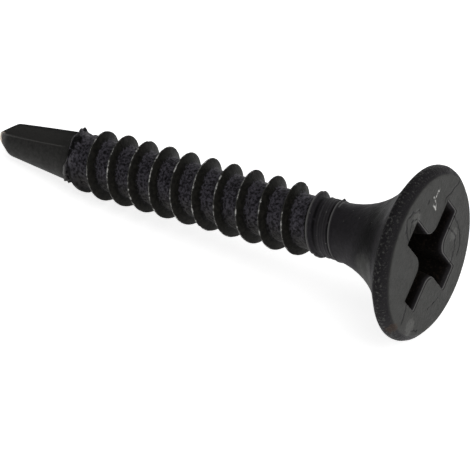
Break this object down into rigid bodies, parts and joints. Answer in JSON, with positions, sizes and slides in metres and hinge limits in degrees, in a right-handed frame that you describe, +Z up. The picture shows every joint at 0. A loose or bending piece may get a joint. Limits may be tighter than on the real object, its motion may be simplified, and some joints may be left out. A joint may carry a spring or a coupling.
{
  "type": "self-drilling drywall screw",
  "caption": "Bugle head drywall screw with a cross recess, one right-hand thread and a forged drill point, lying at rest on its rim and point.",
  "frame": {"origin": "on the surface that the screw lies on, under the middle of its bounding box", "axes": "+X along the lying screw towards its head, +Y across it, +Z up; the screw's own axis dips towards the point by the lean of its rest"},
  "size_m": [0.0258, 0.0082, 0.0083],
  "materials": {
    "phosphated_steel": "matte dark grey phosphate on carbon steel, worn bright at the tip"
  },
  "bodies": {
    "root": {"screw": "phosphated_steel"}
  },
  "joints": []
}
